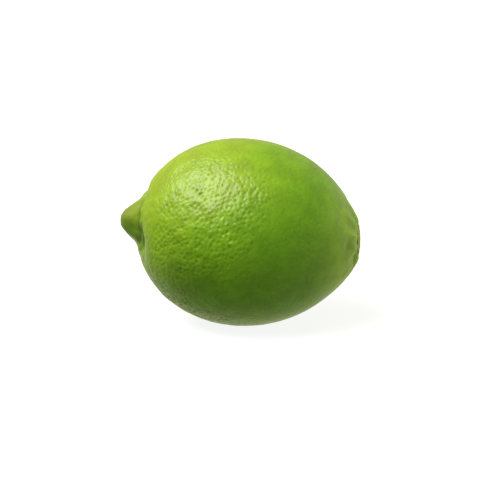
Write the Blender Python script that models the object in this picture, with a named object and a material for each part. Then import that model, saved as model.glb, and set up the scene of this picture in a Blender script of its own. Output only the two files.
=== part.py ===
"""A fresh lime, lying on its side as it was picked: the grown fruit, and in a shallow seat at its
stem end the calyx, the small five-lobed button that stays on when the stem is clipped.

Metres, +Z up. The long axis runs from the nipple at -X to the stem end at +X, which dips a little.
The origin is on the table, below the middle of the whole lime's bounding box.
"""

import math

import bmesh
import bpy
from mathutils import Vector

# The fruit, in its own frame: x along its axis from the nipple to the stem end, z up.
# Every angle is seen from the fruit's middle, between a point of the skin and one of its poles.
HALF_LENGTH = 0.0301  # middle to either end of the plain egg
STEM_HALF_EXTRA = 0.0008  # added to that at the stem end, and taken off at the nipple end
GIRTH_RADIUS = 0.0256
AXIS_DIP = math.radians(3.4)  # how far the stem end lies below level

NIPPLE_HEIGHT = 0.0042
NIPPLE_SPREAD = math.radians(14.0)
NIPPLE_LEAN = math.radians(1.3)  # up from the axis
GROOVE_DEPTH = 0.0005  # the ring-shaped dip between the nipple and the shoulder
GROOVE_ANGLE = math.radians(19.6)
GROOVE_WIDTH = math.radians(3.1)
GROOVE_UPPER_SHARE = 0.8  # deeper by this share on top, shallower by as much below

COLLAR_HEIGHT = 0.0018  # the low cone of rind around the stem end
COLLAR_SPREAD = math.radians(20.5)
COLLAR_LEAN = math.radians(-4.8)  # down from the axis
FURROW_COUNT = 10  # radial furrows in the collar, one for each segment of the fruit
FURROW_DEPTH = 0.0004
FURROW_ANGLE = math.radians(11.5)
FURROW_WIDTH = math.radians(3.2)

# The calyx and the seat that it lies in.
CALYX_RADIUS = 0.0040
CALYX_LOBES = 5
LOBE_SWELL = 0.05  # share of the radius, outwards at a lobe and inwards between two
CALYX_THICKNESS = 0.0011
CALYX_CROWN = 0.45  # share of the thickness above the widest ring
SCAR_RADIUS = 0.0015  # the round scar in the middle, where the stem was
SCAR_DEPTH = 0.00035
CALYX_TILT = math.radians(4.8)  # its face looks up from the fruit's axis by this much
CALYX_FACE = Vector((0.03232, 0.0, 0.00065))  # middle of its outer face, in the fruit's frame
SEAT_DEPTH = 0.00165
SEAT_FLOOR_ANGLE = math.radians(7.7)
SEAT_RIM_ANGLE = math.radians(8.7)

FLAT_DEPTH = 0.00035  # how much the skin is flattened where the fruit rests

# Mesh fineness.
SEGMENTS = 60  # a multiple of FURROW_COUNT
RINGS = 48
CROWDING = 0.7  # 0 spaces the rings evenly, towards 1 they crowd at both ends
CALYX_SEGMENTS = 30
CALYX_RINGS = 12

# Finish: linear colour, roughness.
RIND_COLOUR = (0.165, 0.34, 0.028, 1.0)
RIND_ROUGHNESS = 0.38
CALYX_COLOUR = (0.36, 0.40, 0.12, 1.0)
CALYX_ROUGHNESS = 0.75


def pole(lean, end):
    """Unit vector towards the nipple (end -1) or the stem end (end 1), leaning up by an angle."""
    return Vector((end * math.cos(lean), 0.0, math.sin(lean)))


NIPPLE_POLE = pole(NIPPLE_LEAN, -1)
COLLAR_POLE = pole(COLLAR_LEAN, 1)
SEAT_POLE = CALYX_FACE.normalized()


def angle_between(a, b):
    """Angle between two unit vectors, exact for small angles too."""
    return 2.0 * math.asin(min(1.0, (a - b).length / 2.0))


def bell(angle, middle, width):
    return math.exp(-(((angle - middle) / width) ** 2))


def smooth_step(value, low, high):
    share = min(1.0, max(0.0, (value - low) / (high - low)))
    return share * share * (3.0 - 2.0 * share)


def skin_distance(way):
    """Distance from the fruit's middle to its skin, along the unit vector way."""
    half = HALF_LENGTH + STEM_HALF_EXTRA * way.x
    egg = 1.0 / math.hypot(way.x / half, math.hypot(way.y, way.z) / GIRTH_RADIUS)

    from_nipple = angle_between(way, NIPPLE_POLE)
    inside = max(0.0, 1.0 - (from_nipple / NIPPLE_SPREAD) ** 2)
    nipple = NIPPLE_HEIGHT * inside**2
    upper = 1.0 + GROOVE_UPPER_SHARE * way.z / math.hypot(way.y, way.z, 1e-6)
    groove = GROOVE_DEPTH * upper * bell(from_nipple, GROOVE_ANGLE, GROOVE_WIDTH)

    collar = COLLAR_HEIGHT * bell(angle_between(way, COLLAR_POLE), 0.0, COLLAR_SPREAD)
    from_seat = angle_between(way, SEAT_POLE)
    around = math.atan2(way.z - SEAT_POLE.z, way.y)
    ripple = 0.5 - 0.5 * math.cos(FURROW_COUNT * around)
    furrows = FURROW_DEPTH * ripple * bell(from_seat, FURROW_ANGLE, FURROW_WIDTH)
    seat = SEAT_DEPTH * (1.0 - smooth_step(from_seat, SEAT_FLOOR_ANGLE, SEAT_RIM_ANGLE))

    return egg + nipple - groove + collar - furrows - seat


def finish_mesh(bm, name, colour, roughness):
    """A smooth-shaded object with its own material, from a bmesh that is used up."""
    mesh = bpy.data.meshes.new(name)
    bm.to_mesh(mesh)
    bm.free()
    mesh.shade_smooth()
    mesh.set_sharp_from_angle(angle=math.radians(50.0))
    material = bpy.data.materials.new(name + "_skin")
    material.use_nodes = True
    shader = material.node_tree.nodes["Principled BSDF"]
    shader.inputs["Base Color"].default_value = colour
    shader.inputs["Roughness"].default_value = roughness
    shader.inputs["Metallic"].default_value = 0.0
    mesh.materials.append(material)
    return bpy.data.objects.new(name, mesh)


def make_fruit():
    """The whole fruit: a sphere whose poles are the two ends, drawn out to the skin's shape."""
    bm = bmesh.new()
    bmesh.ops.create_uvsphere(bm, u_segments=SEGMENTS, v_segments=RINGS, radius=1.0)
    for vert in bm.verts:
        from_stem_end = math.acos(max(-1.0, min(1.0, vert.co.z)))
        from_stem_end -= CROWDING / 2.0 * math.sin(2.0 * from_stem_end)
        turn = math.atan2(vert.co.y, vert.co.x)
        around = math.sin(from_stem_end)
        way = Vector(
            (math.cos(from_stem_end), around * math.sin(turn), -around * math.cos(turn))
        )
        vert.co = way * skin_distance(way)
    flatten_rest_spot(bm)
    return finish_mesh(bm, "fruit", RIND_COLOUR, RIND_ROUGHNESS)


def flatten_rest_spot(bm):
    """Cuts the small flat that the lime rests on, level once the axis dips by AXIS_DIP."""
    down = Vector((math.sin(AXIS_DIP), 0.0, -math.cos(AXIS_DIP)))
    lowest = max(vert.co.dot(down) for vert in bm.verts)
    bmesh.ops.bisect_plane(
        bm,
        geom=bm.verts[:] + bm.edges[:] + bm.faces[:],
        dist=1e-6,
        plane_co=down * (lowest - FLAT_DEPTH),
        plane_no=down,
        clear_outer=True,
    )
    rim = [edge for edge in bm.edges if edge.is_boundary]
    bmesh.ops.edgeloop_fill(bm, edges=rim)
    bmesh.ops.recalc_face_normals(bm, faces=bm.faces[:])


def make_calyx():
    """A flat button with five rounded lobes and a round scar, its outer face towards +Z."""
    bm = bmesh.new()
    bmesh.ops.create_uvsphere(bm, u_segments=CALYX_SEGMENTS, v_segments=CALYX_RINGS, radius=1.0)
    for vert in bm.verts:
        out = math.hypot(vert.co.x, vert.co.y)
        turn = math.atan2(vert.co.y, vert.co.x)
        radius = CALYX_RADIUS * out * (1.0 + LOBE_SWELL * math.cos(CALYX_LOBES * turn))
        if vert.co.z > 0.0:
            height = CALYX_THICKNESS * CALYX_CROWN * math.sqrt(vert.co.z)
            height -= SCAR_DEPTH * (1.0 - smooth_step(radius, 0.6 * SCAR_RADIUS, SCAR_RADIUS))
        else:
            height = -CALYX_THICKNESS * (1.0 - CALYX_CROWN) * math.sqrt(-vert.co.z)
        vert.co = Vector((radius * math.cos(turn), radius * math.sin(turn), height))
    calyx = finish_mesh(bm, "calyx", CALYX_COLOUR, CALYX_ROUGHNESS)
    outward = Vector((math.cos(CALYX_TILT), 0.0, math.sin(CALYX_TILT)))
    calyx.rotation_euler = outward.to_track_quat("Z", "X").to_euler()  # one lobe points up
    calyx.location = CALYX_FACE - outward * CALYX_THICKNESS * CALYX_CROWN
    return calyx


def rest_on_table(pieces, axis):
    """Moves the axis so that the pieces stand on z = 0, centred on the origin in x and y."""
    bpy.context.view_layer.update()
    points = [piece.matrix_world @ vert.co for piece in pieces for vert in piece.data.vertices]
    low = Vector([min(point[i] for point in points) for i in range(3)])
    high = Vector([max(point[i] for point in points) for i in range(3)])
    axis.location -= Vector(((low.x + high.x) / 2.0, (low.y + high.y) / 2.0, low.z))


def main():
    for old in list(bpy.data.objects):
        bpy.data.objects.remove(old)
    lime = bpy.data.collections.new("lime")
    bpy.context.scene.collection.children.link(lime)

    axis = bpy.data.objects.new("fruit_axis", None)
    axis.rotation_euler = (0.0, AXIS_DIP, 0.0)
    pieces = [make_fruit(), make_calyx()]
    for item in [axis, *pieces]:
        lime.objects.link(item)
    for piece in pieces:
        piece.parent = axis
    rest_on_table(pieces, axis)


if __name__ == "__main__":
    main()
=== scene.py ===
"""A fresh lime on a plain pale floor: the pitted, waxy rind and the calyx at its stem end."""

import math
from math import radians

import bmesh
import bpy
from bpy.props import FloatProperty, FloatVectorProperty, IntProperty, PointerProperty
from mathutils import Matrix, Vector, noise


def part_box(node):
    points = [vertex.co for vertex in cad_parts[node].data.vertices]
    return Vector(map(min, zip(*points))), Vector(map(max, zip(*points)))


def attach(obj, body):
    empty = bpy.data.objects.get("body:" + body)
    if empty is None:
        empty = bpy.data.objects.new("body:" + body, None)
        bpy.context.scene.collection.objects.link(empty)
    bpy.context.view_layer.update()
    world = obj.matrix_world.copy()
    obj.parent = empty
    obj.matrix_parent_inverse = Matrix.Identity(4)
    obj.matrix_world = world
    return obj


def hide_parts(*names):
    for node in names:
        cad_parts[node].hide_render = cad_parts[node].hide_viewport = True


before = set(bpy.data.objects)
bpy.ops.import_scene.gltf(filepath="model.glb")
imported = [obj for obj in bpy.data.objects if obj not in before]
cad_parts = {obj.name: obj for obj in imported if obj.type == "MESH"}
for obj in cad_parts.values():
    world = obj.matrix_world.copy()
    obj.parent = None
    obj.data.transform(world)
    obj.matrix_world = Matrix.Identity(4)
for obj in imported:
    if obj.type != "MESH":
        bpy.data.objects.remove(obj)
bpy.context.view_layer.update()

bl_info = {
    "name": "Fresh Lime",
    "version": (1, 0, 0),
    "blender": (4, 5, 0),
    "location": "View3D > Sidebar > Lime",
    "description": "Builds a whole lime with a pitted waxy rind, its calyx and a small studio",
    "category": "Add Mesh",
}

MM = 0.001

# The fruit's own frame has x along its axis, from the nipple to the stem end, and z up. Angles
# are seen from the fruit's middle, and a ring is its angle from a pole and its width. The smooth
# skin follows the solid, but its furrows come with the relief, and its seat is shallower and
# slopes inwards, so that the calyx closes it.
HALF_LENGTH = 30.1 * MM
STEM_HALF_EXTRA = 0.8 * MM
AXIS_DIP = radians(3.4)
FLAT_DEPTH = 0.35 * MM
NIPPLE_LEAN = radians(1.3)
GROOVE_DEPTH = 0.5 * MM
GROOVE_RING = (radians(19.6), radians(3.1))
GROOVE_UPPER_SHARE = 0.8
COLLAR_LEAN = radians(-4.8)
SEAT_DEPTH = 1.4 * MM
SEAT_FLOOR_ANGLE = radians(3.0)
SEAT_RIM_ANGLE = radians(8.5)
CALYX_FACE = Vector((32.32 * MM, 0.0, 0.65 * MM))
CALYX_TILT = radians(4.8)


# ---------------------------------------------------------------- nodes as expressions


class Socket:
    """An output socket that reads like a number: arithmetic on it adds Math nodes."""

    def __init__(self, nodes, socket):
        self.nodes = nodes
        self.socket = socket

    def out(self, name):
        """Another output of the same node."""
        return Socket(self.nodes, live_socket(self.socket.node.outputs, name))

    def maths(self, operation, *values):
        return self.nodes.add("ShaderNodeMath", {"operation": operation}, dict(enumerate(values)))

    def __add__(self, other):
        return self.maths("ADD", self, other)

    def __radd__(self, other):
        return self.maths("ADD", other, self)

    def __sub__(self, other):
        return self.maths("SUBTRACT", self, other)

    def __rsub__(self, other):
        return self.maths("SUBTRACT", other, self)

    def __mul__(self, other):
        return self.maths("MULTIPLY", self, other)

    def __rmul__(self, other):
        return self.maths("MULTIPLY", other, self)

    def __truediv__(self, other):
        return self.maths("DIVIDE", self, other)

    def __rtruediv__(self, other):
        return self.maths("DIVIDE", other, self)

    def __pow__(self, other):
        return self.maths("POWER", self, other)

    def __neg__(self):
        return self.maths("MULTIPLY", self, -1.0)


def live_socket(sockets, key):
    """A socket by its place, or by its name among those that the node's settings leave in use."""
    if isinstance(key, int):
        return sockets[key]
    return next(socket for socket in sockets if socket.enabled and socket.name == key)


class Nodes:
    """Adds nodes to one tree. Every node comes from add; the rest are words for common maths."""

    def __init__(self, tree):
        self.tree = tree

    def add(self, kind, settings=None, inputs=None, output=0):
        """Adds a node, sets it up, then fills its sockets; returns one of its outputs."""
        node = self.tree.nodes.new(kind)
        for name, value in (settings or {}).items():
            setattr(node, name, value)
        for key, value in (inputs or {}).items():
            socket = live_socket(node.inputs, key)
            if isinstance(value, Socket):
                self.tree.links.new(value.socket, socket)
            else:
                socket.default_value = value
        if not node.outputs:
            return None
        return Socket(self, live_socket(node.outputs, output))

    def clamp(self, value):
        return self.add("ShaderNodeClamp", None, {"Value": value, "Min": 0.0, "Max": 1.0})

    def ramp_between(self, value, low, high, to_low=0.0, to_high=1.0):
        """Smooth step from one number to another while value goes from low to high."""
        ends = {"From Min": low, "From Max": high, "To Min": to_low, "To Max": to_high}
        smooth = {"interpolation_type": "SMOOTHSTEP"}
        return self.add("ShaderNodeMapRange", smooth, {"Value": value, **ends})

    def exp(self, value):
        return value.maths("EXPONENT", value)

    def bell(self, value, middle, width):
        return self.exp(-(((value - middle) / width) ** 2.0))

    def vector(self, operation, *values, output=0):
        return self.add(
            "ShaderNodeVectorMath", {"operation": operation}, dict(enumerate(values)), output
        )

    def scaled(self, vector, factor):
        return self.add(
            "ShaderNodeVectorMath", {"operation": "SCALE"}, {"Vector": vector, "Scale": factor}
        )

    def joined(self, x, y, z):
        return self.add("ShaderNodeCombineXYZ", None, {0: x, 1: y, 2: z})

    def parts(self, vector):
        """The x, y and z of a vector."""
        x = self.add("ShaderNodeSeparateXYZ", None, {0: vector})
        return x, x.out("Y"), x.out("Z")

    def dot(self, a, b):
        return self.vector("DOT_PRODUCT", a, b, output="Value")

    def angle_to(self, way, pole_at):
        """Angle between two unit vectors."""
        apart = self.vector("DISTANCE", way, pole_at, output="Value")
        return 2.0 * apart.maths("ARCSINE", self.clamp(apart / 2.0))

    def noise(self, where, scale, detail=1.0, roughness=0.5):
        """Fractal noise about 0.5; scale is in cycles per metre."""
        return self.add(
            "ShaderNodeTexNoise",
            {"noise_dimensions": "3D"},
            {"Vector": where, "Scale": scale, "Detail": detail, "Roughness": roughness},
        )

    def attribute(self, name):
        """A number stored on the mesh, for a material."""
        return self.add("ShaderNodeAttribute", {"attribute_name": name}, output="Fac")

    def mix_colours(self, factor, first, second, blend="MIX"):
        return self.add(
            "ShaderNodeMix",
            {"data_type": "RGBA", "blend_type": blend},
            {"Factor": factor, "A": first, "B": second},
            output="Result",
        )

    def grey(self, light):
        return self.add("ShaderNodeCombineColor", None, {0: light, 1: light, 2: light})


# ---------------------------------------------------------------- what a user would change


def angle_property(name, description, degrees):
    return FloatProperty(
        name=name, description=description, default=radians(degrees), subtype="ANGLE"
    )


def length_property(name, description, length):
    return FloatProperty(name=name, description=description, default=length, unit="LENGTH")


def colour_property(name, description, colour):
    return FloatVectorProperty(
        name=name, description=description, default=colour, size=3, min=0, max=1, subtype="COLOR"
    )


class LimeShape(bpy.types.PropertyGroup):
    """Sizes of the fruit and of its skin texture."""

    girth_radius: length_property(
        "Girth Radius",
        "Half the width of the fruit across its axis",
        (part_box("fruit")[1].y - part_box("fruit")[0].y) / 2.0,
    )
    nipple_height: length_property(
        "Nipple Height", "How far the nipple stands out of the egg shape", 4.2 * MM
    )
    nipple_spread: angle_property(
        "Nipple Spread", "Half angle that the nipple takes up, seen from the middle", 14.0
    )
    collar_height: length_property(
        "Collar Height", "Height of the low cone of rind around the stem end", 1.8 * MM
    )
    collar_spread: angle_property(
        "Collar Spread", "Half angle of the collar, seen from the middle", 20.5
    )
    pit_spacing: length_property(
        "Pit Spacing", "Smallest distance between two pits in the rind", 1.10 * MM
    )
    pit_width: length_property("Pit Width", "Width of a middling pit", 1.05 * MM)
    pit_depth: length_property("Pit Depth", "Depth of a middling pit", 0.185 * MM)
    fineness: IntProperty(
        name="Fineness",
        description="Rows of points along each side of the cube that the skin is made from",
        default=127,
        min=20,
        max=127,
    )
    seed: IntProperty(name="Seed", description="Chooses where the pits fall", default=4)


class LimeColours(bpy.types.PropertyGroup):
    """Colours of the rind and of the calyx, linear."""

    # Sunny and green sides: partly the rind's own ripening, partly painted light on the upper side
    # and painted shade on the lower side.
    sunny_and_lit: colour_property("Sunny Side", "Rind where it ripened yellower", (0.23, 0.332, 0.014))
    shaded: colour_property("Green Side", "Rind where it stayed green", (0.12, 0.297, 0.005))
    nipple: colour_property("Nipple", "Olive tint on top of the nipple", (0.15, 0.185, 0.02))
    # Painted shade: dark green under the nipple and in the dent beside it.
    painted_shade_green: colour_property("Hollow", "Dark green below and beside the nipple", (0.058, 0.16, 0.004))
    stylar_scar: colour_property("Stylar Scar", "Dry tip of the nipple", (0.075, 0.045, 0.015))
    # The collar's olive, partly its own tint and partly painted light that brightens the stem end.
    collar: colour_property("Collar", "Olive tint around the stem end", (0.33, 0.57, 0.032))
    # Painted shade in the furrows and creases.
    furrow_shade: colour_property("Furrow", "Browner green in the creases", (0.07, 0.125, 0.008))
    bloom: colour_property("Bloom", "Greyish wax near the stem end", (0.19, 0.30, 0.085))
    calyx: colour_property("Calyx", "Dry lobes of the calyx", (0.42, 0.56, 0.12))
    calyx_patch: colour_property("Calyx Patches", "Drier patches of it", (0.38, 0.46, 0.09))
    calyx_rim: colour_property("Calyx Rim", "Brown edge of the calyx", (0.26, 0.22, 0.07))
    scar: colour_property("Scar", "Bare wood where the stem was cut", (0.50, 0.42, 0.20))


# ---------------------------------------------------------------- places on the fruit


def pole(lean, end):
    """Unit vector towards the nipple (end -1) or the stem end (end 1), leaning up by an angle."""
    return Vector((end * math.cos(lean), 0.0, math.sin(lean)))


def off_pole(from_pole, turn):
    """Unit vector at an angle from the axis at the nipple end; turn 0 is in front, 90 on top."""
    around = math.sin(from_pole)
    return Vector((-math.cos(from_pole), -around * math.cos(turn), around * math.sin(turn)))


NIPPLE_POLE = pole(NIPPLE_LEAN, -1)
COLLAR_POLE = pole(COLLAR_LEAN, 1)
SEAT_POLE = CALYX_FACE.normalized()
BROW_POLE = pole(radians(10.5), 1)  # a small swelling of the rind above the calyx
DENT_POLE = off_pole(radians(19.5), radians(-14.0))  # a dent beside the nipple, in front
COARSE_WAY = Vector((-0.44, -0.76, 0.46)).normalized()  # the skin is coarsest on this side
LOW_WAY = Vector((-0.50, -0.35, -0.79)).normalized()  # and coarse again low on the nipple side


def fruit_middle(shape):
    """Where the fruit's own frame sits: found from the box of the solid and the plain egg."""
    tip = NIPPLE_POLE * (HALF_LENGTH - STEM_HALF_EXTRA + shape.nipple_height)
    turn = Matrix.Rotation(AXIS_DIP, 3, "Y")
    lowest = 0.0
    for step in range(360):
        angle = radians(step / 2.0)
        along, below = math.cos(angle), -math.sin(angle)
        half = HALF_LENGTH + STEM_HALF_EXTRA * along
        distance = 1.0 / math.hypot(along / half, below / shape.girth_radius)
        point = turn @ Vector((along * distance, 0.0, below * distance))
        lowest = min(lowest, point.z)
    return Vector((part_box("fruit")[0].x - (turn @ tip).x, 0.0, -lowest - FLAT_DEPTH))


# ---------------------------------------------------------------- the skin, as geometry nodes

SIZE_INPUTS = (
    ("Girth Radius", "NodeSocketFloat"),
    ("Nipple Height", "NodeSocketFloat"),
    ("Nipple Spread", "NodeSocketFloat"),
    ("Collar Height", "NodeSocketFloat"),
    ("Collar Spread", "NodeSocketFloat"),
    ("Pit Spacing", "NodeSocketFloat"),
    ("Pit Width", "NodeSocketFloat"),
    ("Pit Depth", "NodeSocketFloat"),
    ("Fineness", "NodeSocketInt"),
    ("Seed", "NodeSocketInt"),
)
PLACE_INPUTS = (("Middle", "NodeSocketVector"), ("Material", "NodeSocketMaterial"))

# Where the skin has its full texture, and how strong that is. A ramp is where it starts and ends,
# and its values there. Noise scales are in cycles per metre.
OPEN_FROM_NIPPLE = (radians(8.0), radians(44.0), 0.2, 1.0)
OPEN_FROM_SEAT = (radians(10.0), radians(17.0), 0.0, 1.0)
COARSE_RAMP = (0.57, 0.95, 0.28, 1.46)  # over the cosine of the angle from COARSE_WAY
LOW_RAMP = (0.70, 0.95, 0.0, 0.6)  # and from LOW_WAY
BACK_RAMP = (-0.1, 0.7, 0.0, 0.35)  # over the way's y
PATCHY_SCALE = 130.0
PATCHY_RAMP = (0.3, 0.7, 0.65, 1.35)

# Pits over the oil glands, drawn out a little upwards, with their outlines bent.
PIT_DENSITY = 4.0e6  # more tries per square metre than the spacing lets through
PIT_SIZES = (0.65, 1.25)  # smallest and biggest, as shares of a middling one
PIT_SQUEEZE = (1.0, 1.0, 0.7)
PIT_BEND = 1.2 * MM
PIT_BEND_SCALE = 620.0
PIT_WALL = (0.05, 1.0)  # where it starts and ends, as shares of the half width

# Waves of the whole skin: scale, detail, height, and where they are felt.
WAVES = (
    (60.0, 1.0, 0.22 * MM, "everywhere"),
    (210.0, 1.0, 0.15 * MM, "coarse"),
    (420.0, 2.0, 0.30 * MM, "coarse"),
    (900.0, 1.0, 0.05 * MM, "open"),
    (450.0, 2.0, 0.75 * MM, "nipple"),
)
KNOBBLY_NIPPLE = (radians(3.0), radians(21.0), 1.0, 0.0)

# Ripples run out from a pole, and soft noise shifts them by so many radians of their wave.
WAVER = 5.0
WAVER_SCALE = 90.0

# The nipple and the skin round it. The two ramps in front are over the way's y.
NIPPLE_RIDGES = 6.0
NIPPLE_RIDGE_DEPTH = 0.50 * MM
NIPPLE_RIDGE_RING = (radians(9.5), radians(4.0))
NIPPLE_FOLDS = 13.0
NIPPLE_FOLD_WAVER = 2.0  # times the common one
NIPPLE_FOLD_DEPTH = 0.34 * MM
NIPPLE_FOLD_RING = (radians(17.5), radians(4.5))
FOLDS_IN_FRONT = (-0.20, -0.02, 1.0, 0.3)
CREASE_DEPTH = 0.50 * MM
CREASE_RING = (radians(14.9), radians(1.7))
OUTER_CREASE_RING = (radians(19.5), radians(1.1))
OUTER_CREASE_SHARE = 0.5
CREASE_WANDER = radians(5.0)
OUTER_WANDER_SHARE = 1.6
CREASE_WANDER_SCALE = 130.0
CREASES_IN_FRONT = (-0.20, -0.06, 1.0, 0.15)
SHOULDER_WRINKLE_DEPTH = 0.40 * MM
SHOULDER_WRINKLE_SCALE = 330.0
SHOULDER_RING = (radians(30.0), radians(11.0))
DENT_DEPTH = 1.7 * MM
DENT_SPREAD = radians(8.0)

# The stem end: furrows of uneven depth run out from the seat, with ridges between them.
STEM_FURROWS = 10.0  # one for each segment of the fruit
STEM_FURROW_WAVER = 1.1  # times the common one
STEM_FURROW_WIDENING = 0.6  # a power; under 1 it widens them
STEM_FURROW_SCALE = 190.0
STEM_FURROW_RAMP = (0.35, 0.65, 0.45, 1.3)
STEM_FURROW_DEPTH = 0.75 * MM
STEM_FURROW_LEVEL = 0.4  # share of the depth by which the ridges stand out
STEM_FURROW_RING = (radians(11.0), radians(2.8))
FURROW_TAIL_DEPTH = 0.55 * MM
FURROW_TAIL_LEVEL = 0.5
FURROW_TAIL_RING = (radians(17.0), radians(5.5))
# Where the furrows get painted shade.
FURROW_SHADE_RING = (radians(14.0), radians(7.0))
BROW_HEIGHT = 0.12 * MM
BROW_SPREAD = radians(3.2)
SEAT_LINE_DEPTH = 0.05 * MM
SEAT_LINE_RING = (radians(8.2), radians(0.5))

FLAT_EDGE = 0.15 * MM  # how softly the resting flat ends


class Skin:
    """What the relief asks about a point: its place, its way from the middle, its angles from the
    nipple and from the seat, and how far the ripples are shifted there."""

    def __init__(self, nodes):
        self.here = nodes.add("GeometryNodeInputPosition")
        self.way = nodes.vector("NORMALIZE", self.here)
        self.across = nodes.parts(self.way)[1]
        self.from_nipple = nodes.angle_to(self.way, NIPPLE_POLE)
        self.from_seat = nodes.angle_to(self.way, SEAT_POLE)
        self.waver = WAVER * nodes.noise(self.here, WAVER_SCALE)


def even_ball(nodes, size):
    """A unit ball of nearly even squares: a cube whose points are spread by equal angles."""
    cube_size = {"Size": (2.0, 2.0, 2.0)}
    for axis in "XYZ":
        cube_size["Vertices " + axis] = size["Fineness"]
    cube = nodes.add("GeometryNodeMeshCube", None, cube_size)
    corner = nodes.parts(nodes.add("GeometryNodeInputPosition"))
    even = [side.maths("TANGENT", side * (math.pi / 4.0)) for side in corner]
    way = nodes.vector("NORMALIZE", nodes.joined(*even))
    return nodes.add("GeometryNodeSetPosition", None, {"Geometry": cube, "Position": way})


def skin_distance(nodes, way, size):
    """Distance from the fruit's middle to its smooth skin along the unit vector way."""
    x, y, z = nodes.parts(way)
    around = (y * y + z * z) ** 0.5
    half = HALF_LENGTH + STEM_HALF_EXTRA * x
    egg = 1.0 / ((x / half) ** 2.0 + (around / size["Girth Radius"]) ** 2.0) ** 0.5

    from_nipple = nodes.angle_to(way, NIPPLE_POLE)
    inside = nodes.clamp(1.0 - (from_nipple / size["Nipple Spread"]) ** 2.0)
    nipple = size["Nipple Height"] * inside**2.0
    upper = 1.0 + GROOVE_UPPER_SHARE * (z / around.maths("MAXIMUM", around, 1e-6))
    groove = GROOVE_DEPTH * upper * nodes.bell(from_nipple, *GROOVE_RING)

    from_collar = nodes.angle_to(way, COLLAR_POLE)
    collar = size["Collar Height"] * nodes.bell(from_collar, 0.0, size["Collar Spread"])
    from_seat = nodes.angle_to(way, SEAT_POLE)
    seat = nodes.ramp_between(from_seat, SEAT_FLOOR_ANGLE, SEAT_RIM_ANGLE, SEAT_DEPTH, 0.0)
    return egg + nipple - groove + collar - seat


def smooth_skin(nodes, size):
    """The ball drawn out to the fruit, before any texture."""
    way = nodes.vector("NORMALIZE", nodes.add("GeometryNodeInputPosition"))
    distance = skin_distance(nodes, way, size)
    return nodes.add(
        "GeometryNodeSetPosition",
        None,
        {"Geometry": even_ball(nodes, size), "Position": nodes.scaled(way, distance)},
    )


def ripples(nodes, way, pole_at, count, waver):
    """0 to 1 waves that run outwards from a pole, with their lines bent by waver."""
    _, y, z = nodes.parts(way)
    turn = y.maths("ARCTAN2", z - pole_at.z, y)
    wave = count * turn + waver
    return 0.5 - 0.5 * wave.maths("COSINE", wave)


def pit_field(nodes, skin_mesh, size):
    """How deep in the nearest pit a point is, from 0 to 1, and how big that pit is."""
    here = nodes.add("GeometryNodeInputPosition")
    scattered = nodes.add(
        "GeometryNodeDistributePointsOnFaces",
        {"distribute_method": "POISSON"},
        {
            "Mesh": skin_mesh,
            "Distance Min": size["Pit Spacing"],
            "Density Max": PIT_DENSITY,
            "Seed": size["Seed"],
        },
    )
    spread = nodes.add(
        "FunctionNodeRandomValue",
        {"data_type": "FLOAT"},
        {"Min": PIT_SIZES[0], "Max": PIT_SIZES[1], "Seed": size["Seed"]},
        output="Value",
    )
    clouds = nodes.noise(here, PIT_BEND_SCALE).out("Color")
    bend = nodes.vector("SUBTRACT", clouds, (0.5, 0.5, 0.5))
    bent = nodes.vector("ADD", here, nodes.scaled(bend, PIT_BEND))
    bent = nodes.vector("MULTIPLY", bent, PIT_SQUEEZE)
    squeezed = nodes.vector("MULTIPLY", here, PIT_SQUEEZE)
    pits = nodes.add(
        "GeometryNodeSetPosition", None, {"Geometry": scattered, "Position": squeezed}
    )
    nearest = nodes.add(
        "GeometryNodeSampleNearest",
        {"domain": "POINT"},
        {"Geometry": pits, "Sample Position": bent},
    )
    pit_at = nodes.add(
        "GeometryNodeSampleIndex",
        {"data_type": "FLOAT_VECTOR", "domain": "POINT"},
        {"Geometry": pits, "Value": here, "Index": nearest},
    )
    pit_size = nodes.add(
        "GeometryNodeSampleIndex",
        {"data_type": "FLOAT", "domain": "POINT"},
        {"Geometry": pits, "Value": spread, "Index": nearest},
    )
    to_pit = nodes.vector("DISTANCE", bent, pit_at, output="Value")
    reach = size["Pit Width"] / 2.0 * pit_size
    return 1.0 - nodes.ramp_between(to_pit / reach, *PIT_WALL), pit_size


def texture_strength(nodes, skin):
    """Two shares: how open the skin is away from the ends, and how coarse it is on each side."""
    open_skin = nodes.ramp_between(skin.from_nipple, *OPEN_FROM_NIPPLE)
    open_skin = open_skin * nodes.ramp_between(skin.from_seat, *OPEN_FROM_SEAT)
    coarse = nodes.ramp_between(nodes.dot(skin.way, COARSE_WAY), *COARSE_RAMP)
    coarse = coarse + nodes.ramp_between(skin.across, *BACK_RAMP)
    coarse = coarse + nodes.ramp_between(nodes.dot(skin.way, LOW_WAY), *LOW_RAMP)
    return open_skin, coarse


def wave_relief(nodes, skin, felt):
    """Sum of the waves, each times the share that says where it is felt."""
    relief = 0.0
    for scale, detail, height, where in WAVES:
        relief = relief + height * (nodes.noise(skin.here, scale, detail) - 0.5) * felt[where]
    return relief


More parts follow.
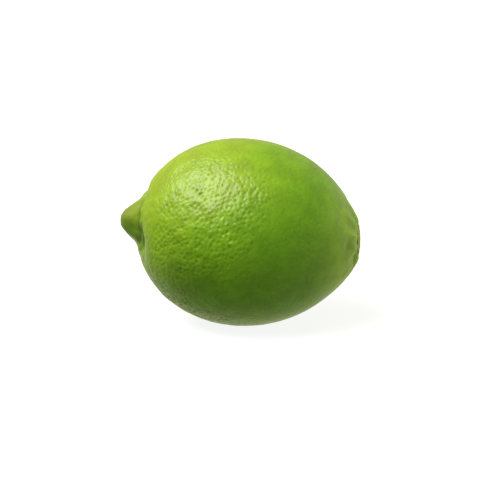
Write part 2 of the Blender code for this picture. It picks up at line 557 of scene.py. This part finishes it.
def nipple_relief(nodes, skin):
    """Ridges on the nipple, folds and creases round it and a dent in front; with two masks."""
    ridges = ripples(nodes, skin.way, NIPPLE_POLE, NIPPLE_RIDGES, skin.waver)
    ridges = ridges * nodes.bell(skin.from_nipple, *NIPPLE_RIDGE_RING)
    waver = NIPPLE_FOLD_WAVER * skin.waver
    folds = ripples(nodes, skin.way, NIPPLE_POLE, NIPPLE_FOLDS, waver)
    folds = folds * nodes.ramp_between(skin.across, *FOLDS_IN_FRONT)
    folds = folds * nodes.bell(skin.from_nipple, *NIPPLE_FOLD_RING)

    wander = CREASE_WANDER * (nodes.noise(skin.here, CREASE_WANDER_SCALE) - 0.5)
    outer_angle = skin.from_nipple + OUTER_WANDER_SHARE * wander
    crease = nodes.bell(skin.from_nipple + wander, *CREASE_RING)
    crease = crease + OUTER_CREASE_SHARE * nodes.bell(outer_angle, *OUTER_CREASE_RING)
    crease = crease * nodes.ramp_between(skin.across, *CREASES_IN_FRONT)

    wrinkles = nodes.noise(skin.here, SHOULDER_WRINKLE_SCALE)
    wrinkles = wrinkles * nodes.bell(skin.from_nipple, *SHOULDER_RING)
    dent = nodes.bell(nodes.angle_to(skin.way, DENT_POLE), 0.0, DENT_SPREAD)
    depth = (
        NIPPLE_RIDGE_DEPTH * ridges
        + NIPPLE_FOLD_DEPTH * folds
        + CREASE_DEPTH * crease
        + SHOULDER_WRINKLE_DEPTH * wrinkles
        + DENT_DEPTH * dent
    )
    return -depth, crease, dent


def stem_end_relief(nodes, skin):
    """Furrows that run out from the seat, a brow above it and a fine line round it; and one mask,
    where the furrows get painted shade.
    """
    waver = STEM_FURROW_WAVER * skin.waver
    furrows = ripples(nodes, skin.way, SEAT_POLE, STEM_FURROWS, waver)
    clouds = nodes.noise(skin.here, STEM_FURROW_SCALE)
    furrows = furrows**STEM_FURROW_WIDENING * nodes.ramp_between(clouds, *STEM_FURROW_RAMP)
    near = (furrows - STEM_FURROW_LEVEL) * nodes.bell(skin.from_seat, *STEM_FURROW_RING)
    tails = (furrows - FURROW_TAIL_LEVEL) * nodes.bell(skin.from_seat, *FURROW_TAIL_RING)
    brow = nodes.bell(nodes.angle_to(skin.way, BROW_POLE), 0.0, BROW_SPREAD)
    line = nodes.bell(skin.from_seat, *SEAT_LINE_RING)
    height = (
        BROW_HEIGHT * brow
        - STEM_FURROW_DEPTH * near
        - FURROW_TAIL_DEPTH * tails
        - SEAT_LINE_DEPTH * line
    )
    return height, furrows * nodes.bell(skin.from_seat, *FURROW_SHADE_RING)


def textured_skin(nodes, smooth, size):
    """The smooth skin with its relief, and the masks that the rind's material reads."""
    in_pit, pit_size = pit_field(nodes, smooth, size)
    skin = Skin(nodes)
    open_skin, coarse = texture_strength(nodes, skin)
    patchy = nodes.ramp_between(nodes.noise(skin.here, PATCHY_SCALE), *PATCHY_RAMP)
    felt = {
        "everywhere": 1.0,
        "coarse": coarse,
        "open": open_skin,
        "nipple": nodes.ramp_between(skin.from_nipple, *KNOBBLY_NIPPLE),
    }
    pit_relief = size["Pit Depth"] * pit_size * in_pit * open_skin * coarse * patchy
    nipple_end, crease, dent = nipple_relief(nodes, skin)
    stem_end, furrow_shade = stem_end_relief(nodes, skin)
    relief = wave_relief(nodes, skin, felt) - pit_relief + nipple_end + stem_end
    mesh = nodes.add(
        "GeometryNodeSetPosition",
        None,
        {"Geometry": smooth, "Offset": nodes.scaled(skin.way, relief)},
    )
    masks = {
        "pit": in_pit * open_skin * nodes.clamp(coarse),
        "from_nipple": skin.from_nipple,
        "from_seat": skin.from_seat,
        "dent": dent,
        "furrow_shade": furrow_shade,
        "crease": crease,
    }
    for name, value in masks.items():
        mesh = nodes.add(
            "GeometryNodeStoreNamedAttribute",
            {"data_type": "FLOAT", "domain": "POINT"},
            {"Geometry": mesh, "Name": name, "Value": value},
        )
    return mesh


def placed_skin(nodes, mesh, size):
    """The skin on the table: dipped, moved to its middle and flattened where it rests."""
    dipped = nodes.add(
        "ShaderNodeVectorRotate",
        {"rotation_type": "Y_AXIS"},
        {"Vector": nodes.add("GeometryNodeInputPosition"), "Angle": AXIS_DIP},
    )
    x, y, z = nodes.parts(nodes.vector("ADD", dipped, size["Middle"]))
    z = z.maths("SMOOTH_MAX", z, 0.0, FLAT_EDGE)
    return nodes.add(
        "GeometryNodeSetPosition", None, {"Geometry": mesh, "Position": nodes.joined(x, y, z)}
    )


def rind_tree():
    """The whole skin: an even ball, drawn out to the fruit, textured and set on the table."""
    tree = bpy.data.node_groups.new("Lime Rind", "GeometryNodeTree")
    for name, kind in SIZE_INPUTS + PLACE_INPUTS:
        tree.interface.new_socket(name, in_out="INPUT", socket_type=kind)
    tree.interface.new_socket("Geometry", in_out="OUTPUT", socket_type="NodeSocketGeometry")
    nodes = Nodes(tree)
    entry = nodes.add("NodeGroupInput")
    size = {name: entry.out(name) for name, _ in SIZE_INPUTS + PLACE_INPUTS}

    textured = textured_skin(nodes, smooth_skin(nodes, size), size)
    placed = placed_skin(nodes, textured, size)
    shaded = nodes.add("GeometryNodeSetShadeSmooth", None, {"Geometry": placed})
    real = nodes.add("GeometryNodeRealizeInstances", None, {"Geometry": shaded})
    finished = nodes.add(
        "GeometryNodeSetMaterial", None, {"Geometry": real, "Material": size["Material"]}
    )
    nodes.add("NodeGroupOutput", None, {"Geometry": finished})
    return tree


def run_tree(name, tree, values):
    """The tree's result as a plain mesh object, with no modifier left."""
    holder = bpy.data.objects.new(name, bpy.data.meshes.new(name))
    bpy.context.scene.collection.objects.link(holder)
    modifier = holder.modifiers.new("Shape", "NODES")
    modifier.node_group = tree
    for item in tree.interface.items_tree:
        if item.in_out == "INPUT":
            modifier[item.identifier] = values[item.name]
    bpy.context.view_layer.update()
    shown = holder.evaluated_get(bpy.context.evaluated_depsgraph_get())
    mesh = bpy.data.meshes.new_from_object(shown)
    holder.modifiers.remove(modifier)
    mesh.materials.clear()  # the cube brings an empty slot of its own
    mesh.materials.append(values["Material"])
    holder.data = mesh
    return holder


# ---------------------------------------------------------------- finishes

# The rind is yellower and lighter upwards and towards the nipple, partly its own ripening and
# partly painted light from above: weights per metre, the weight of the soft clouds in it, and
# where it starts and ends.
SUN_UP = 31.0
SUN_ALONG = -20.0
SUN_CLOUDS = 0.9
SUN_RAMP = (-0.3, 1.25)
CLOUD_SCALE = 70.0
# Broad patches of painted light and shade on the peel: their middle, how much riper and how much
# lighter they are.
PAINTED_LIGHT_PATCHES = (
    (Vector((-0.19, -0.78, 0.60)), 0.30, 0.03),
    (Vector((-0.21, -0.96, 0.14)), 0.00, 0.11),
    (Vector((-0.42, -0.89, -0.19)), 0.00, -0.18),
    (Vector((0.32, -0.32, 0.89)), -0.30, -0.02),
)
PATCH_RAMP = (0.92, 1.0)  # over the cosine of the angle from a patch's middle
MOTTLE_SCALE = 230.0
MOTTLE_RAMP = (0.35, 0.68, 0.91, 1.11)
GLAND_SCALE = 900.0
GLAND_RAMP = (0.12, 0.42, 0.96, 1.01)
# How much darker the pits are: partly the glands' own deeper green, partly painted shade in the
# hollows.
PIT_SHADE = 0.16

# Tints of the ends, with painted shade under the nipple and painted light on the collar: where each
# fades out, and how strong it is.
NIPPLE_TINT = (radians(8.0), radians(17.0), 0.85, 0.0)
# The collar tint is partly the stem end's own olive and partly painted light on that end.
COLLAR_TINT_AND_PAINTED_LIGHT = (radians(10.0), radians(47.0), 0.82, 0.0)
STYLAR_SCAR_TINT = (radians(1.5), radians(3.6), 0.8, 0.0)
TINT_FRAY = radians(3.0)  # how far the clouds shift a tint's edge
STYLAR_SCAR_FRAY_SHARE = 0.3
OLIVE_OVER_SHADE_RAMP = (-1.0 * MM, 7.0 * MM)  # over the height above the fruit's middle: olive above, painted shade below
OLIVE_BLOTCHES = 5.0 * MM  # how far blotches shift it
OLIVE_BLOTCH_SCALE = 520.0
BLOOM_RING = (radians(23.0), radians(9.0))
BLOOM_SCALE = 160.0
BLOOM_RAMP = (0.48, 0.66, 0.0, 0.4)
# Strength of the painted shade in the dent beside the nipple.
DENT_PAINTED_SHADE = 1.1
# Strengths of the painted shade in the furrows and creases.
FURROW_PAINTED_SHADE = 0.34
CREASE_PAINTED_SHADE = 0.75

RIND_ROUGHNESS = 0.34
RIND_IOR = 1.42
MOTTLE_ROUGHER = 0.10
PIT_ROUGHER = 0.22
STYLAR_SCAR_ROUGHER = 0.25
DIMPLE_RAMP = (0.05, 0.5)
RIND_GRAIN_SCALE = 1500.0
BUMP_DISTANCE = 0.08 * MM

CALYX_GRAIN_SCALE = 1600.0
CALYX_GRAIN_RAMP = (0.3, 0.7, 0.72, 1.18)
CALYX_PATCH_SCALE = 420.0
CALYX_PATCH_RAMP = (0.35, 0.65)
CALYX_RIM_TINT = 0.12
CALYX_ROUGHNESS = 0.62
CALYX_GRAIN_ROUGHER = 0.2


def new_material(name):
    """A material with an empty node tree, and its nodes."""
    material = bpy.data.materials.new(name)
    material.use_nodes = True
    material.node_tree.nodes.clear()
    return material, Nodes(material.node_tree)


def finish_material(nodes, inputs):
    shader = nodes.add("ShaderNodeBsdfPrincipled", None, inputs)
    nodes.add("ShaderNodeOutputMaterial", None, {"Surface": shader})


def opaque(colour):
    return (*colour, 1.0)


def ripeness_and_painted_light(nodes, from_middle, clouds):
    """How yellow the peel is, from 0 to 1, partly ripening and partly painted light from above, and
    the lightness of its broad patches of painted light and shade.
    """
    along, _, up = nodes.parts(from_middle)
    way = nodes.vector("NORMALIZE", from_middle)
    ripening_and_light = up * SUN_UP + along * SUN_ALONG + SUN_CLOUDS * clouds
    painted_lightness = 1.0
    for towards, riper, lighter in PAINTED_LIGHT_PATCHES:
        patch = nodes.ramp_between(nodes.dot(way, towards.normalized()), *PATCH_RAMP)
        ripening_and_light = ripening_and_light + riper * patch
        painted_lightness = painted_lightness + lighter * patch
    return nodes.ramp_between(ripening_and_light, *SUN_RAMP), painted_lightness


def nipple_olive_and_painted_shade(nodes, colours, here, from_middle):
    """Olive on top of the nipple and painted shade, in dark green, below it, with a blotchy edge
    between them.
    """
    up = nodes.parts(from_middle)[2]
    blotches = OLIVE_BLOTCHES * (nodes.noise(here, OLIVE_BLOTCH_SCALE, 2.0) - 0.5)
    upper = nodes.ramp_between(up + blotches, *OLIVE_OVER_SHADE_RAMP)
    return nodes.mix_colours(upper, opaque(colours.painted_shade_green), opaque(colours.nipple))


def rind_material(colours, middle):
    """Waxy peel: yellower and lighter on the upper nipple side, partly painted light; with mottling,
    broad patches of painted light and shade, darker pits partly painted shade, painted shade under
    and beside the nipple and in the creases, and olive ends, the stem end partly painted light.
    """
    material, nodes = new_material("Lime rind")
    here = nodes.add("ShaderNodeTexCoord", output="Object")
    from_middle = nodes.vector("SUBTRACT", here, middle)
    from_nipple = nodes.attribute("from_nipple")
    from_seat = nodes.attribute("from_seat")
    pit = nodes.attribute("pit")

    clouds = nodes.noise(here, CLOUD_SCALE, 3.0) - 0.5
    fray = TINT_FRAY * clouds
    # Yellower and lighter upwards, partly ripening and partly painted light; broad patches of
    # painted light and shade.
    ripe_and_lit, patches = ripeness_and_painted_light(nodes, from_middle, clouds)
    colour = nodes.mix_colours(ripe_and_lit, opaque(colours.shaded), opaque(colours.sunny_and_lit))

    # Near the nipple: its olive on top and painted shade below.
    tint = nodes.ramp_between(from_nipple + fray, *NIPPLE_TINT)
    colour = nodes.mix_colours(tint, colour, nipple_olive_and_painted_shade(nodes, colours, here, from_middle))
    # Painted shade: dark green in the dent beside the nipple.
    tint = nodes.clamp(DENT_PAINTED_SHADE * nodes.attribute("dent"))
    colour = nodes.mix_colours(tint, colour, opaque(colours.painted_shade_green))
    # The collar's olive, partly its own tint and partly painted light, wide enough to brighten the
    # stem end.
    tint = nodes.ramp_between(from_seat + fray, *COLLAR_TINT_AND_PAINTED_LIGHT)
    colour = nodes.mix_colours(tint, colour, opaque(colours.collar))
    tint = nodes.ramp_between(nodes.noise(here, BLOOM_SCALE, 2.0), *BLOOM_RAMP)
    tint = tint * nodes.bell(from_seat, *BLOOM_RING)
    colour = nodes.mix_colours(tint, colour, opaque(colours.bloom))
    # Painted shade in the furrows at the stem end and the creases round the nipple.
    tint = FURROW_PAINTED_SHADE * nodes.attribute("furrow_shade") + CREASE_PAINTED_SHADE * nodes.attribute("crease")
    colour = nodes.mix_colours(nodes.clamp(tint), colour, opaque(colours.furrow_shade))

    mottle = nodes.noise(here, MOTTLE_SCALE, 3.0, 0.6)
    glands = nodes.add(
        "ShaderNodeTexVoronoi",
        {"feature": "F1"},
        {"Vector": here, "Scale": GLAND_SCALE, "Randomness": 1.0},
        output="Distance",
    )
    light = nodes.ramp_between(mottle, *MOTTLE_RAMP) * nodes.ramp_between(glands, *GLAND_RAMP)
    # The broad patches bring painted light and shade; the pits are darker, partly their own green
    # and partly painted shade.
    light = light * patches * (1.0 - PIT_SHADE * pit)
    colour = nodes.mix_colours(1.0, colour, nodes.grey(light), "MULTIPLY")
    edge = from_nipple + STYLAR_SCAR_FRAY_SHARE * fray
    stylar_scar = nodes.ramp_between(edge, *STYLAR_SCAR_TINT)
    colour = nodes.mix_colours(stylar_scar, colour, opaque(colours.stylar_scar))

    dimples = nodes.ramp_between(glands, *DIMPLE_RAMP)
    grain = nodes.noise(here, RIND_GRAIN_SCALE, 2.0, 0.6)
    bump = nodes.add(
        "ShaderNodeBump",
        None,
        {"Strength": 0.5, "Distance": BUMP_DISTANCE, "Height": dimples + 0.5 * grain},
    )
    rough = RIND_ROUGHNESS + MOTTLE_ROUGHER * (mottle - 0.5)
    rough = rough + PIT_ROUGHER * pit + STYLAR_SCAR_ROUGHER * stylar_scar
    finish_material(
        nodes,
        {
            "Base Color": colour,
            "Roughness": rough,
            "Normal": bump,
            "IOR": RIND_IOR,
            "Specular IOR Level": 0.5,
        },
    )
    return material


def calyx_material(colours):
    """Dry green-brown lobes round a bare woody scar."""
    material, nodes = new_material("Lime calyx")
    here = nodes.add("ShaderNodeTexCoord", output="Object")
    grain = nodes.noise(here, CALYX_GRAIN_SCALE, 4.0, 0.65)
    patches = nodes.ramp_between(nodes.noise(here, CALYX_PATCH_SCALE, 2.0), *CALYX_PATCH_RAMP)
    colour = nodes.mix_colours(patches, opaque(colours.calyx), opaque(colours.calyx_patch))
    rim = CALYX_RIM_TINT * nodes.attribute("rim")
    colour = nodes.mix_colours(rim, colour, opaque(colours.calyx_rim))
    colour = nodes.mix_colours(nodes.attribute("scar"), colour, opaque(colours.scar))
    shade = nodes.ramp_between(grain, *CALYX_GRAIN_RAMP)
    colour = nodes.mix_colours(1.0, colour, nodes.grey(shade), "MULTIPLY")
    bump = nodes.add(
        "ShaderNodeBump", None, {"Strength": 0.6, "Distance": BUMP_DISTANCE, "Height": grain}
    )
    rough = CALYX_ROUGHNESS + CALYX_GRAIN_ROUGHER * grain
    finish_material(nodes, {"Base Color": colour, "Roughness": rough, "Normal": bump})
    return material


# ---------------------------------------------------------------- the calyx

CALYX_RADIUS = 4.15 * MM
LOBES = 5.0
LOBE_EDGE = 0.945  # share of the radius halfway between a lobe's tip and a notch
LOBE_SWELL = 0.055  # how far the lobes go out from there and the notches in
EDGE_RAGGED = 0.035
CALYX_RIM = 0.40 * MM  # height of its upper side above the widest ring
CALYX_BASE = 0.85 * MM  # and of its lower side below it
RIM_REACH = (0.86, 1.0)
VALLEY_DEPTH = 0.22 * MM  # of the hollows between the lobes
VALLEY_REACH = (0.45 * CALYX_RADIUS, 0.95 * CALYX_RADIUS)
SCAR_RADIUS = 1.5 * MM
SCAR_DEPTH = 0.22 * MM
SCAR_WALL = (0.72 * SCAR_RADIUS, SCAR_RADIUS)
SCAR_RING_HEIGHT = 0.06 * MM
SCAR_RING = (1.15 * SCAR_RADIUS, 0.25 * SCAR_RADIUS)
PITH_HEIGHT = 0.12 * MM
PITH_SPREAD = 0.35 * SCAR_RADIUS
WRINKLE_HEIGHT = 0.09 * MM
WRINKLE_SCALE = 1400.0
FOLD_SCALE = 500.0
FOLD_REACH = (0.4, 0.8)
CALYX_SIDES = 120
CALYX_ROWS = 72


def smooth_step(value, low, high):
    share = min(1.0, max(0.0, (value - low) / (high - low)))
    return share * share * (3.0 - 2.0 * share)


def bell(value, middle, width):
    return math.exp(-(((value - middle) / width) ** 2))


def calyx_relief(at, turn, radius, out, lobe):
    """Height of the relief on the calyx's upper side, and how much of the scar is there."""
    in_scar = 1.0 - smooth_step(radius, *SCAR_WALL)
    valley = (0.5 - 0.5 * lobe) * smooth_step(radius, *VALLEY_REACH)
    ring = bell(radius, *SCAR_RING)
    pith = bell(radius, 0.0, PITH_SPREAD)
    height = SCAR_RING_HEIGHT * ring + PITH_HEIGHT * pith
    height -= SCAR_DEPTH * in_scar + VALLEY_DEPTH * valley
    wrinkle = noise.noise(Vector((at.x, at.y, 0.0)) * WRINKLE_SCALE)
    fold = noise.noise(Vector((2.5 * turn, radius * FOLD_SCALE, 3.1)))
    height += WRINKLE_HEIGHT * (wrinkle + fold * smooth_step(out, *FOLD_REACH))
    return height, in_scar


def calyx_point(unit):
    """A point of the calyx in its own frame, face towards +z, with its scar and rim shares."""
    out = math.hypot(unit.x, unit.y)
    turn = math.atan2(unit.y, unit.x)
    lobe = math.cos(LOBES * turn + 0.5 * math.sin(turn + 0.7))  # some are wider than others
    ragged = noise.noise(Vector((2.2 * math.cos(turn), 2.2 * math.sin(turn), 1.7)))
    radius = CALYX_RADIUS * (LOBE_EDGE + LOBE_SWELL * lobe + EDGE_RAGGED * ragged) * out
    at = Vector((radius * math.cos(turn), radius * math.sin(turn), 0.0))
    if unit.z > 0.0:
        relief, in_scar = calyx_relief(at, turn, radius, out, lobe)
        at.z = CALYX_RIM * unit.z**0.5 + relief
    else:
        in_scar = 0.0
        at.z = -CALYX_BASE * (-unit.z) ** 0.5
    return at, in_scar, smooth_step(out, *RIM_REACH)


def make_calyx(material):
    """The lobed button with its cut scar, in place in its seat."""
    bm = bmesh.new()
    bmesh.ops.create_uvsphere(bm, u_segments=CALYX_SIDES, v_segments=CALYX_ROWS, radius=1.0)
    scar_share = bm.verts.layers.float.new("scar")
    rim_share = bm.verts.layers.float.new("rim")
    for vert in bm.verts:
        vert.co, vert[scar_share], vert[rim_share] = calyx_point(vert.co)
    outward = Vector((math.cos(CALYX_TILT), 0.0, math.sin(CALYX_TILT)))
    turn = outward.to_track_quat("Z", "X").to_matrix().to_4x4()
    in_seat = Matrix.Translation(CALYX_FACE - outward * CALYX_RIM)
    dip = Matrix.Rotation(AXIS_DIP, 4, "Y")
    middle = Matrix.Translation(fruit_middle(bpy.context.scene.lime_shape))
    bm.transform(middle @ dip @ in_seat @ turn)
    for face in bm.faces:
        face.smooth = True
    mesh = bpy.data.meshes.new("calyx_button")
    bm.to_mesh(mesh)
    bm.free()
    mesh.materials.append(material)
    calyx = bpy.data.objects.new("calyx_button", mesh)
    bpy.context.scene.collection.objects.link(calyx)
    return calyx


class LIME_OT_rind(bpy.types.Operator):
    """Grows the rind around the whole fruit"""

    bl_idname = "lime.rind"
    bl_label = "Rind"

    def execute(self, context):
        shape = context.scene.lime_shape
        values = {}
        for name, _ in SIZE_INPUTS:
            values[name] = getattr(shape, name.lower().replace(" ", "_"))
        values["Middle"] = fruit_middle(shape)
        values["Material"] = rind_material(context.scene.lime_colours, values["Middle"])
        rind = run_tree("rind", rind_tree(), values)
        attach(rind, "root")
        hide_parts("fruit")
        return {"FINISHED"}


class LIME_OT_calyx(bpy.types.Operator):
    """Sets the lobed calyx in its seat at the stem end"""

    bl_idname = "lime.calyx"
    bl_label = "Calyx"

    def execute(self, context):
        calyx = make_calyx(calyx_material(context.scene.lime_colours))
        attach(calyx, "root")
        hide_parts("calyx")
        return {"FINISHED"}


# ---------------------------------------------------------------- the studio

CAMERA_AZIMUTH = radians(6.0)
CAMERA_ELEVATION = radians(15.0)
CAMERA_DISTANCE = 0.4949
CAMERA_LENS = 135.0
CAMERA_DROP = 2.7 * MM  # the view's middle lies this far below the fruit's middle

FLOOR_RADIUS = 4.0
FLOOR_DROP = 0.02 * MM  # just under the flat that the lime rests on
FLOOR_COLOUR = (0.2, 0.2, 0.2)
FLOOR_ROUGHNESS = 0.9
FLOOR_LIGHT = (0.05, 0.25, 0.88, 1.0)  # its own light, over the distance from its middle

KEY_TOWARDS = Vector((-0.465, -0.27, 0.845)).normalized()
KEY_DISTANCE = 0.6
KEY_WIDTH = 0.64
KEY_HEIGHT = 0.42
KEY_POWER = 6.75
LAMP_COLOUR = (1.0, 0.985, 0.97)
ROOM_COLOUR = (1.0, 0.97, 0.63)
ROOM_LIGHT = 0.075
# Soft glows of the room around the lime: towards, strength, tightness.
GLOWS = (
    (KEY_TOWARDS, 0.62, 6.0),
    (Vector((0.84, 0.52, -0.16)).normalized(), 0.78, 1.2),
    (Vector((-0.42, 0.72, -0.55)).normalized(), 0.75, 5.0),
)


def direction(azimuth, elevation):
    """Unit vector from the lime towards a place round it; azimuth 0 is in front, at -Y."""
    flat = math.cos(elevation)
    return Vector((math.sin(azimuth) * flat, -math.cos(azimuth) * flat, math.sin(elevation)))


def aim(thing, place, target):
    thing.location = place
    thing.rotation_euler = (target - place).to_track_quat("-Z", "Y").to_euler()


def make_floor():
    """A pale disc with a light of its own, so that it shows nearly white with a faint shadow."""
    bm = bmesh.new()
    bmesh.ops.create_circle(bm, cap_ends=True, segments=96, radius=FLOOR_RADIUS)
    mesh = bpy.data.meshes.new("floor")
    bm.to_mesh(mesh)
    bm.free()
    mesh.transform(Matrix.Translation((0.0, 0.0, -FLOOR_DROP)))
    material, nodes = new_material("Pale floor")
    here = nodes.add("ShaderNodeTexCoord", output="Object")
    away = nodes.vector("LENGTH", here, output="Value")
    finish_material(
        nodes,
        {
            "Base Color": opaque(FLOOR_COLOUR),
            "Roughness": FLOOR_ROUGHNESS,
            "Specular IOR Level": 0.0,
            "Emission Color": nodes.grey(nodes.ramp_between(away, *FLOOR_LIGHT)),
            "Emission Strength": 1.0,
        },
    )
    mesh.materials.append(material)
    floor = bpy.data.objects.new("floor", mesh)
    bpy.context.scene.collection.objects.link(floor)
    floor.visible_diffuse = False  # the glows light the lime from below too
    floor.visible_glossy = False
    floor.visible_shadow = False


def make_key_light():
    """A wide flat lamp, up and to the left, that faces the lime."""
    lamp = bpy.data.lights.new("key_light", "AREA")
    lamp.shape = "RECTANGLE"
    lamp.size = KEY_WIDTH
    lamp.size_y = KEY_HEIGHT
    lamp.energy = KEY_POWER
    lamp.color = LAMP_COLOUR
    softbox = bpy.data.objects.new("key_light", lamp)
    bpy.context.scene.collection.objects.link(softbox)
    softbox.visible_camera = False
    middle = fruit_middle(bpy.context.scene.lime_shape)
    aim(softbox, middle + KEY_TOWARDS * KEY_DISTANCE, middle)


def make_world():
    """White for the camera; for the lime, a dim room with a few soft glows."""
    world = bpy.data.worlds.new("Studio")
    bpy.context.scene.world = world
    world.use_nodes = True
    world.node_tree.nodes.clear()
    nodes = Nodes(world.node_tree)
    way = nodes.add("ShaderNodeTexCoord", output="Generated")
    strength = ROOM_LIGHT
    for towards, glow, tightness in GLOWS:
        facing = nodes.dot(way, towards)
        strength = strength + glow * nodes.exp(tightness * (facing - 1.0))
    room = nodes.add(
        "ShaderNodeBackground", None, {"Color": opaque(ROOM_COLOUR), "Strength": strength}
    )
    white = opaque((1.0, 1.0, 1.0))
    pale = nodes.add("ShaderNodeBackground", None, {"Color": white, "Strength": 1.0})
    rays = nodes.add("ShaderNodeLightPath", output="Is Camera Ray")
    seen = nodes.add("ShaderNodeMixShader", None, {0: rays, 1: room, 2: pale})
    nodes.add("ShaderNodeOutputWorld", None, {"Surface": seen})


def make_camera():
    data = bpy.data.cameras.new("camera")
    data.lens = CAMERA_LENS
    data.sensor_width = 36.0
    data.clip_start = 0.01
    camera = bpy.data.objects.new("camera", data)
    bpy.context.scene.collection.objects.link(camera)
    target = fruit_middle(bpy.context.scene.lime_shape) - Vector((0.0, 0.0, CAMERA_DROP))
    place = target + direction(CAMERA_AZIMUTH, CAMERA_ELEVATION) * CAMERA_DISTANCE
    aim(camera, place, target)
    bpy.context.scene.camera = camera


class LIME_OT_studio(bpy.types.Operator):
    """Lays the pale floor and sets up the soft light and the camera"""

    bl_idname = "lime.studio"
    bl_label = "Studio"

    def execute(self, context):
        make_floor()
        make_key_light()
        make_world()
        make_camera()
        context.scene.view_settings.view_transform = "Standard"
        return {"FINISHED"}


# ---------------------------------------------------------------- the sidebar and the run


class LIME_PT_panel(bpy.types.Panel):
    """Lists the lime's sizes, colours and steps in the sidebar"""

    bl_idname = "LIME_PT_panel"
    bl_label = "Fresh Lime"
    bl_space_type = "VIEW_3D"
    bl_region_type = "UI"
    bl_category = "Lime"

    def draw(self, context):
        for group in (context.scene.lime_shape, context.scene.lime_colours):
            box = self.layout.box()
            for name in group.__annotations__:
                box.prop(group, name)
        for step in STEPS:
            self.layout.operator(step.bl_idname)


STEPS = (LIME_OT_rind, LIME_OT_calyx, LIME_OT_studio)
CLASSES = (LimeShape, LimeColours, *STEPS, LIME_PT_panel)


def register():
    for cls in CLASSES:
        bpy.utils.register_class(cls)
    bpy.types.Scene.lime_shape = PointerProperty(type=LimeShape)
    bpy.types.Scene.lime_colours = PointerProperty(type=LimeColours)


def unregister():
    del bpy.types.Scene.lime_shape
    del bpy.types.Scene.lime_colours
    for cls in reversed(CLASSES):
        bpy.utils.unregister_class(cls)


def main():
    register()
    bpy.ops.lime.rind()
    bpy.ops.lime.calyx()
    bpy.ops.lime.studio()


if __name__ == "__main__":
    main()
